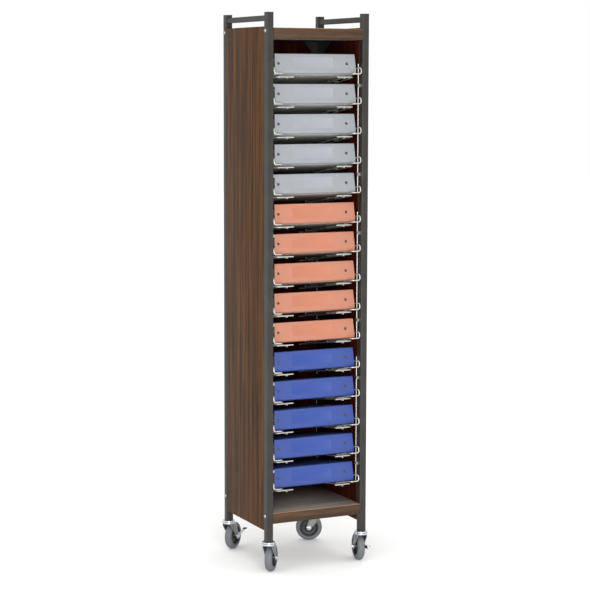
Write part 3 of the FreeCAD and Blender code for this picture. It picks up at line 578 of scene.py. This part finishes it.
def model_rings():
    """A steel strip inside the spine with three rings and a lifting lever at each end."""
    left, right, half_width, front, back, corner = -154.0, 132.0, 15.0, 3.0, 4.5, 6.0
    centre, half_length = (left + right) / 2, (right - left) / 2
    strip = block("strip", (left, front, MIDDLE - half_width), (right, back, MIDDLE + half_width))
    pick(strip, "EDGE", lambda edge, spot: abs(spot.x - centre) > half_length - NEAR
         and abs(spot.z - MIDDLE) > half_width - NEAR)
    round_off(corner, steps=4)
    pieces = [strip]
    lever_length, lever_half, lever_front, lever_back = 12.0, 6.5, 4.4, 6.0
    lever_border, lever_rise = 1.5, 0.8
    for start in (left, right - lever_length):
        lever = block("lever", (start, lever_front, MIDDLE - lever_half),
                      (start + lever_length, lever_back, MIDDLE + lever_half))
        pick(lever, "FACE", faces(Y, 1))
        inset(lever_border, lever_rise)
        pieces.append(lever)
    ring_spacing, ring_radius, wire_radius, ring_centre = 108.0, 27.5, 2.0, 33.6
    flat_from, flattened = 52.0, 0.9
    for number in (-1, 0, 1):
        begin()
        place = Vector((centre + number * ring_spacing, ring_centre, MIDDLE))
        bpy.ops.mesh.primitive_torus_add(major_radius=ring_radius * MM, minor_radius=wire_radius * MM,
                                         major_segments=40, minor_segments=10, location=place * MM,
                                         rotation=(0, math.radians(90), 0))
        loop = named("loop")
        pick(loop, "VERT", lambda vertex, spot: spot.y > flat_from)
        shrink(y=flattened, about=(0, flat_from, MIDDLE))
        pieces.append(loop)
    rings = unite("rings", pieces)
    smooth(rings, angle=50)
    return rings


def model_divider():
    """A divider in the stack, a little narrower and deeper than the sheets, with two round corners."""
    half, front, fore_edge, bottom, top, corner = 146.0, 24.0, 296.0, 30.0, 31.0, 6.0
    divider = block("divider", (-half, front, bottom), (half, fore_edge, top))
    pick(divider, "EDGE", lambda edge, spot: abs(spot.x) > half - NEAR and spot.y > fore_edge - NEAR)
    round_off(corner, steps=4)
    return divider


def model_sheets():
    """The stack of sheets, a little slanted at the fore-edge, with one divider that stands out of it."""
    half, front, fore_edge, bottom, top = 148.5, 20.0, 292.0, 3.2, BINDER["height"] - 14
    slant = 3.0
    sheets = block("sheets", (-half, front, bottom), (half, fore_edge, top))
    pick(sheets, "VERT", lambda vertex, spot: spot.y > fore_edge - NEAR and spot.z > top - NEAR)
    shift(y=-slant)
    stack = unite("sheets", [sheets, model_divider()])
    ease(stack, width=0.4, steps=1)
    return stack


def binder_place(node):
    """Where a binder's own origin is, read from its solid's box; it lies on its tray's slope."""
    low, high = (Vector(corner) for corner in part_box(node))
    slope = math.radians(TRAY_SLOPE)
    depth, height = BINDER["depth"] * MM, BINDER["height"] * MM
    origin = Vector(((low.x + high.x) / 2, high.y - depth * math.cos(slope) - height * math.sin(slope),
                     low.z + depth * math.sin(slope)))
    return Matrix.Translation(origin) @ Matrix.Rotation(-slope, 4, "X")


class OBJECT_OT_rack_binders(bpy.types.Operator):
    """Model a ring binder and lay one in each tray"""
    bl_idname = "object.rack_binders"
    bl_label = "Ring Binders"

    def execute(self, context):
        patterns = {"cover": model_cover(context.scene.chart_rack), "label": model_label(),
                    "rivets": model_rivets(), "rings": model_rings(), "sheets": model_sheets()}
        for node in BINDERS:
            place, slot = binder_place(node), SLOTS[node]
            tint = slot.removeprefix("binder_")
            finishes = {"cover": slot, "label": tint + "_label", "rivets": "rivet", "rings": "ring_steel",
                        "sheets": "paper"}
            for role, pattern in patterns.items():
                piece = copy_to(pattern, f"{node}_{role}", place)
                coat(piece, finish_of(finishes[role]))
                if role == "cover":
                    belongs(piece, node, slot, node)
                else:
                    belongs(piece, node, slot if role == "label" else None)
        throw_away(*patterns.values())
        return {"FINISHED"}


# ---- Panels and boards

class OBJECT_OT_rack_panels(bpy.types.Operator):
    """Cut the side panels and the back panel with eased edges"""
    bl_idname = "object.rack_panels"
    bl_label = "Panels"

    def execute(self, context):
        edge = context.scene.chart_rack.eased_edge / MM
        shaded_insides = {"left_panel": faces(X, 1), "right_panel": faces(X, -1),
                   "back_panel": lambda face, spot: face.normal.y < FACING}
        for node, inside in shaded_insides.items():
            panel = block(node + "_laminate", *(Vector(corner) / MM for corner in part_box(node)))
            ease(panel, edge)
            coat(panel, finish_of("side_laminate"), finish_of("back_laminate"))
            # Painted shade: the faces inside the rack take the darkened copy of the laminate.
            coat_faces(panel, 1, inside)
            belongs(panel, "root", SLOTS[node], node)
        return {"FINISHED"}


def cut_rebate(board, high, corner):
    """Cut a rebate in a board's upper rear edge: open a chamfer there and move its sides to the corner."""
    chamfer = 1.0
    pick(board, "EDGE", lambda edge, spot: spot.y > high.y - NEAR and spot.z > high.z - NEAR)
    round_off(chamfer, steps=1)
    pick(board, "FACE", lambda face, spot: face.normal.y > 0.5 and face.normal.z > 0.5)
    bpy.ops.mesh.delete(type="FACE")
    pick(board, "VERT", lambda vertex, spot: high.y - 2 * chamfer < spot.y < high.y - chamfer / 2)
    shift(y=corner.y - high.y + chamfer)
    pick(board, "VERT", lambda vertex, spot: spot.y > high.y - chamfer / 2 and spot.z > high.z - 2 * chamfer)
    shift(z=corner.z - high.z + chamfer)
    pick(board, "EDGE", lambda edge, spot: edge.is_boundary)
    bpy.ops.mesh.edge_face_add()


class OBJECT_OT_rack_boards(bpy.types.Operator):
    """Build the top board and the base board with banded front edges"""
    bl_idname = "object.rack_boards"
    bl_label = "Boards"

    def execute(self, context):
        looks = context.scene.chart_rack
        for node in ("top_board", "base_board"):
            low, high = (Vector(corner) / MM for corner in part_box(node))
            centre = (low.x + high.x) / 2
            board = block(node + "_laminate", low, high)
            if node == "base_board":
                cut_rebate(board, high, Vector(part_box("back_panel")[0]) / MM)
            pick(board, "EDGE", lambda edge, spot: spot.y < low.y + CLOSE and abs(spot.x - centre) < NEAR)
            round_off(looks.board_edge / MM, steps=4)
            ease(board, looks.eased_edge / MM)
            coat(board, finish_of(SLOTS[node]), finish_of("board_top"), finish_of("edge_line"))
            # Painted sheen: the faces above and below take the greyed, lightened copy of the laminate.
            coat_faces(board, 1, faces(Z, least=STRAIGHT))
            # Painted highlight: the rounded edge that faces up and forwards takes the tan line.
            coat_faces(board, 2, lambda face, spot: face.normal.z > 0.3 and face.normal.y < -0.2)
            belongs(board, "root", SLOTS[node], node)
        return {"FINISHED"}


# ---- Casters, in millimetres from the floor under the swivel, with the wheel trailing along +X

# The axle's place, and the outer faces of the fork's legs.
AXLE = Vector((35, 0, 50))
FORK_OUTER = 18.5
# The way each brake pedal points, its reach from the axle and the rise of its foot tab.
PEDALS = {"rear_left": (1, 60.0, 13.0), "front_right": (-1, 58.0, 5.0)}


def model_race(name, bottom, height, rim):
    """A ball race: a round plate with a rim and a dished middle on both faces."""
    diameter, slope, dish = 48, 2.0, 0.8
    race = drum(name, diameter, height, (0, 0, bottom + height / 2), upright=True)
    pick(race, "FACE", faces(Z))
    inset(rim)
    inset(slope, -dish)
    return race


def model_turned(name, diameter, bottom, height, way, slope, rise, sides):
    """A turned part that stands on the swivel's axis, with one end raised or sunk inside a slope."""
    turned = drum(name, diameter, height, (0, 0, bottom + height / 2), upright=True, sides=sides)
    pick(turned, "FACE", faces(Z, way))
    inset(slope, rise)
    return turned


def model_fork():
    """A pressed fork: two tapering legs with round eyes, a crown, and the lower race on it."""
    front, back, inner, outer = -16.0, 30.0, 16.0, FORK_OUTER
    shoulder, top, eye, fillet = 96.5, 103.5, 11.0, 2.0
    middle = (front + back) / 2
    legs = []
    for side in (-1, 1):
        near, far = sorted((side * inner, side * outer))
        leg = block("leg", (front, near, shoulder), (back, far, top))
        pick(leg, "FACE", faces(Z, -1))
        extrude(AXLE.z - shoulder)
        shrink(x=2 * eye / (back - front), about=(middle, 0, AXLE.z))
        shift(x=AXLE.x - middle)
        extrude(-eye)
        pick(leg, "EDGE", lambda edge, spot: spot.z < AXLE.z - eye + CLOSE
             and abs(abs(spot.x - AXLE.x) - eye) < CLOSE)
        round_off(eye - 0.1, steps=8)
        pick(leg, "EDGE", lambda edge, spot: spot.z > top - CLOSE and abs(spot.y - side * outer) < CLOSE)
        round_off(fillet)
        legs.append(leg)
    crown_half, crown_bottom, crown_top, crown_corner = 18.3, 101.5, 104.5, 7.0
    crown = block("crown", (front, -crown_half, crown_bottom), (back, crown_half, crown_top))
    pick(crown, "EDGE", lambda edge, spot: spot.x < front + NEAR and abs(spot.y) > crown_half - CLOSE
         and crown_bottom + CLOSE < spot.z < crown_top - CLOSE)
    round_off(crown_corner, steps=5)
    race_bottom = 104.0
    race = model_race("race", race_bottom, height=5.4, rim=3.0)
    collar = model_turned("collar", 30, bottom=107.6, height=3.0, way=1, slope=2.0, rise=-0.5, sides=32)
    fork = unite("fork", [*legs, crown, race, collar])
    ease(fork, width=0.7, angle=40)
    coat(fork, finish_of("caster_zinc"), finish_of("fork_zinc"))
    # Painted shade: the fork below the race takes the darker copy of the zinc.
    coat_faces(fork, 1, lambda face, spot: spot.z < race_bottom)
    return fork


def model_axle(pedal):
    """The axle bolt with its hexagonal head and nut, both chamfered; a pedal moves the head outwards."""
    shank, tail, hexagon_size, washer_size, washer_height = 8.0, 8.0, 15.0, 17.0, 1.0
    head_height, nut_height, chamfer, crease, washer_rim, pedal_room = 5.0, 6.5, 0.6, 0.5, 0.3, 3.6
    head = FORK_OUTER + (pedal_room if pedal else 0.0)
    end = FORK_OUTER + tail
    parts = [drum("shank", shank, head + end, (AXLE.x, (end - head) / 2, AXLE.z), sides=24)]
    for side, face, height in ((-1, head, head_height), (1, FORK_OUTER, nut_height)):
        centre = side * (face + height / 2)
        hexagon = drum("hexagon", hexagon_size, height, (AXLE.x, centre, AXLE.z), sides=6)
        pick(hexagon, "FACE", faces(Y))
        inset(chamfer)
        inset(crease)
        washer_centre = centre - side * (height / 2 - washer_height / 2)
        washer = drum("washer", washer_size, washer_height, (AXLE.x, washer_centre, AXLE.z), sides=28)
        pick(washer, "FACE", faces(Y))
        inset(washer_rim)
        parts += [hexagon, washer]
    axle = unite("axle", parts)
    ease(axle, width=0.4)
    return axle


def model_upper_race():
    """The fixed race under the end of a post, with its sleeve in the post and its kingpin below it."""
    race = model_race("upper_race", bottom=111.0, height=5.0, rim=2.5)
    sleeve = model_turned("sleeve", 22, bottom=115.0, height=20.0, way=1, slope=2.0, rise=-0.5, sides=32)
    pin = model_turned("kingpin", 9.8, bottom=99.85, height=11.5, way=-1, slope=1.0, rise=0.3, sides=24)
    head = model_turned("kingpin_head", 16, bottom=99.0, height=2.2, way=-1, slope=2.0, rise=0.4, sides=28)
    race = unite("upper_race", [race, sleeve, pin, head])
    ease(race, width=0.8, steps=3)
    return race


def model_hub():
    """The moulded centre of a wheel along Y: a rim, a sunk web and a long boss on each side."""
    diameter, width = 72, 24
    rim, wall, sunk, web = 4.0, 2.0, 8.0, 15.0
    foot, foot_height, shoulder, boss_wall, boss_length = 1.5, 2.0, 2.0, 0.8, 9.5
    hub = drum("hub", diameter, width, (0, 0, 0), sides=64)
    for side in (-1, 1):
        pick(hub, "FACE", faces(Y, side))
        inset(rim)
        inset(wall, -sunk)
        inset(web)
        inset(foot, foot_height)
        inset(shoulder)
        inset(boss_wall, boss_length)
    ease(hub, width=0.6)
    return hub


def model_pedal(toward, reach, rise):
    """A pressed brake pedal on the axle, with a rubber pad over its foot tab."""
    face, plate, boss_size, arm_half, neck = -18.8, 3.0, 24, 7.5, 0.7
    tab_length, tab_width, tab_rise, tab_corner, lip = 16, 13, 2.25, 3.5, 4
    outside, end, level = face - plate, AXLE.x + reach, AXLE.z + rise
    arm_end, neck_from = end - 6, AXLE.x + 5
    tab_bottom, tab_top = level + tab_rise, level + tab_rise + plate
    boss = drum("boss", boss_size, plate, (AXLE.x, face - plate / 2, AXLE.z), sides=40)
    arm = block("arm", (AXLE.x, outside, AXLE.z - arm_half), (arm_end, face, AXLE.z + arm_half))
    pick(arm, "VERT", lambda vertex, spot: spot.x > neck_from)
    shrink(z=neck, about=(0, 0, AXLE.z))
    shift(z=rise)
    tab = block("tab", (end - tab_length, face - tab_width, tab_bottom), (end, face, tab_top))
    pick(tab, "EDGE", lambda edge, spot: abs(spot.z - (tab_bottom + tab_top) / 2) < CLOSE
         and spot.y < face - tab_width + NEAR)
    round_off(tab_corner, steps=4)
    stop = block("lip", (end - lip, outside, level - arm_half * neck), (end, face, level + lip))
    pedal = unite("pedal", [boss, arm, tab, stop])
    ease(pedal, width=0.5)
    if toward < 0:
        pick(pedal, "VERT", lambda vertex, spot: True)
        bpy.ops.transform.mirror(constraint_axis=(True, False, False), center_override=AXLE * MM)
        bpy.ops.mesh.normals_make_consistent(inside=False)
    coat(pedal, finish_of("pedal_steel"), finish_of("pedal_rubber"))
    coat_faces(pedal, 1, lambda facet, spot: toward * (spot.x - AXLE.x) > reach - tab_length - NEAR)
    return pedal


def swivel_place(corner):
    """Where a caster's swivel meets the floor and which way its wheel trails."""
    swivel = Vector(JOINTS[f"{corner}_swivel"]["pos_m"])
    axle = Vector(JOINTS[f"{corner}_wheel_spin"]["pos_m"])
    turn = math.atan2(axle.y - swivel.y, axle.x - swivel.x)
    return Matrix.Translation((swivel.x, swivel.y, 0)) @ Matrix.Rotation(turn, 4, "Z")


class OBJECT_OT_rack_casters(bpy.types.Operator):
    """Model a caster's races, fork, axle and hub, and fit them under each post"""
    bl_idname = "object.rack_casters"
    bl_label = "Casters"

    def execute(self, context):
        fork, race, hub = model_fork(), model_upper_race(), model_hub()
        axles = {pedal: model_axle(pedal) for pedal in (False, True)}
        zinc = finish_of("caster_zinc")
        races = []
        for corner in CORNERS:
            place = swivel_place(corner)
            turned = copy_to(fork, f"{corner}_caster_fork", place)
            belongs(turned, f"{corner}_fork", "caster_zinc", f"{corner}_fork")
            bolt = copy_to(axles[corner in PEDALS], f"{corner}_axle", place)
            coat(bolt, zinc)
            belongs(bolt, f"{corner}_fork", "caster_zinc")
            if corner in PEDALS:
                pedal = model_pedal(*PEDALS[corner])
                pedal.matrix_world = place
                take(pedal)
                named(f"{corner}_brake_pedal")
                belongs(pedal, f"{corner}_pedal", None, f"{corner}_pedal")
            races.append(copy_to(race, f"{corner}_upper_race", place))
            centre = copy_to(hub, f"{corner}_wheel_hub", place @ Matrix.Translation(AXLE * MM))
            coat(centre, finish_of("hub_plastic"))
            belongs(centre, f"{corner}_wheel", "hub_plastic", f"{corner}_hub")
        upper = unite("upper_races", races)
        coat(upper, zinc)
        belongs(upper, "root", "caster_zinc", "caster_stems")
        throw_away(fork, race, hub, *axles.values())
        return {"FINISHED"}


class OBJECT_OT_rack_finishes(bpy.types.Operator):
    """Give every solid of the frame its finish"""
    bl_idname = "object.rack_finishes"
    bl_label = "Frame Finishes"

    def execute(self, context):
        for name, slot in SLOTS.items():
            slots = frame["nodes"][name].data.materials
            slots.clear()
            slots.append(finish_of(slot))
        return {"FINISHED"}


# ---- Floor, lights and camera, in metres from the middle between the posts, on the floor

# Each soft light's place, the point it is aimed at and the side of its square.
KEY_LIGHT = {"place": (-3.6, -1.0, 2.9), "target": (0, 0, 1.3), "size": 2.4}
FILL_LIGHT = {"place": (-1.6, -4.3, 1.25), "target": (0, 0, 1.1), "size": 2.5}
# The sky's sun: its strength, its width and its lean about X and Y, in degrees.
SKY = {"energy": 0.8, "width": 100, "lean": (35, -15)}
# A long lens at chest height, left of the rack's front; its turns are in degrees, its lens in millimetres.
CAMERA = {"place": (-2.84525, -5.91213, 1.75814), "turn": -25.709, "down": 6.783, "roll": 0.129,
          "lens": 110.06, "sensor": 36.0, "sees_to": 100.0}
FLOOR_SIZE = 40


def frame_centre():
    """The middle between the four posts, on the floor."""
    corners = [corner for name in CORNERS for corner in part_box(f"{name}_post")]
    x, y = ((min(corner[axis] for corner in corners) + max(corner[axis] for corner in corners)) / 2
            for axis in (X, Y))
    return Vector((x, y, 0.0))


def add_light(context, name, centre, light, watts):
    """A square soft light aimed at a point."""
    lamp = bpy.data.lights.new(name, "AREA")
    lamp.size = light["size"]
    lamp.energy = watts
    piece = bpy.data.objects.new(name, lamp)
    context.scene.collection.objects.link(piece)
    place, target = centre + Vector(light["place"]), centre + Vector(light["target"])
    aim = (target - place).to_track_quat("-Z", "Y").to_matrix().to_4x4()
    piece.matrix_world = Matrix.Translation(place) @ aim


def add_sky(context):
    """A pale world and a very wide, weak sun over the rack."""
    world = bpy.data.worlds.new("soft_white")
    world.use_nodes = True
    background = world.node_tree.nodes["Background"]
    background.inputs["Color"].default_value = linear("#FFFFFF")
    background.inputs["Strength"].default_value = 1.0
    context.scene.world = world
    lean_x, lean_y = (math.radians(lean) for lean in SKY["lean"])
    bpy.ops.object.light_add(type="SUN", rotation=(lean_x, lean_y, 0))
    sun = context.object
    sun.name = sun.data.name = "soft_sky"
    sun.data.energy = SKY["energy"]
    sun.data.angle = math.radians(SKY["width"])


def add_camera(context, centre):
    """The camera, turned to the rack and a little down."""
    camera = bpy.data.cameras.new("camera")
    camera.sensor_width = CAMERA["sensor"]
    camera.lens = CAMERA["lens"]
    camera.clip_end = CAMERA["sees_to"]
    piece = bpy.data.objects.new("camera", camera)
    context.scene.collection.objects.link(piece)
    turn = Matrix.Rotation(math.radians(CAMERA["turn"]), 4, "Z")
    tilt = Matrix.Rotation(math.radians(90 - CAMERA["down"]), 4, "X")
    roll = Matrix.Rotation(math.radians(CAMERA["roll"]), 4, "Z")
    piece.matrix_world = Matrix.Translation(centre + Vector(CAMERA["place"])) @ turn @ tilt @ roll
    context.scene.camera = piece


class OBJECT_OT_rack_stage(bpy.types.Operator):
    """Add the pale floor, the soft lights and the camera"""
    bl_idname = "object.rack_stage"
    bl_label = "Floor, Lights and Camera"

    def execute(self, context):
        looks = context.scene.chart_rack
        centre = frame_centre()
        bpy.ops.object.select_all(action="DESELECT")
        bpy.ops.mesh.primitive_plane_add(size=FLOOR_SIZE, location=(0, 0, 0))
        floor = context.object
        floor.name = "floor"
        # Matt painted floor: an even, very pale grey.
        floor_paint, *_ = new_material("pale_floor", Base_Color=looks.floor_colour, Roughness=0.8)
        coat(floor, floor_paint)
        context.scene.view_settings.view_transform = "Standard"
        add_light(context, "left_key", centre, KEY_LIGHT, looks.key_power)
        add_light(context, "front_fill", centre, FILL_LIGHT, looks.fill_power)
        add_sky(context)
        add_camera(context, centre)
        return {"FINISHED"}


# ---- The add-on

OPERATORS = (OBJECT_OT_rack_finishes, OBJECT_OT_rack_binders, OBJECT_OT_rack_panels, OBJECT_OT_rack_boards,
             OBJECT_OT_rack_casters, OBJECT_OT_rack_stage)


class VIEW3D_PT_chart_rack(bpy.types.Panel):
    """The rack's pieces, in the order they are built"""
    bl_idname = "VIEW3D_PT_chart_rack"
    bl_label = "Chart Rack"
    bl_space_type = "VIEW_3D"
    bl_region_type = "UI"
    bl_category = "Chart Rack"

    def draw(self, context):
        looks = context.scene.chart_rack
        for name in ChartRackLooks.__annotations__:
            self.layout.prop(looks, name)
        for operator in OPERATORS:
            self.layout.operator(operator.bl_idname)


CLASSES = (ChartRackLooks, *OPERATORS, VIEW3D_PT_chart_rack)


def register():
    """Make the classes and the rack's settings known to Blender."""
    for kind in CLASSES:
        bpy.utils.register_class(kind)
    bpy.types.Scene.chart_rack = bpy.props.PointerProperty(type=ChartRackLooks)


def unregister():
    """Take the settings and the classes away again."""
    del bpy.types.Scene.chart_rack
    for kind in reversed(CLASSES):
        bpy.utils.unregister_class(kind)


def main():
    """Build everything."""
    register()
    bpy.ops.object.rack_finishes()
    bpy.ops.object.rack_binders()
    bpy.ops.object.rack_panels()
    bpy.ops.object.rack_boards()
    bpy.ops.object.rack_casters()
    bpy.ops.object.rack_stage()


if __name__ == "__main__":
    main()
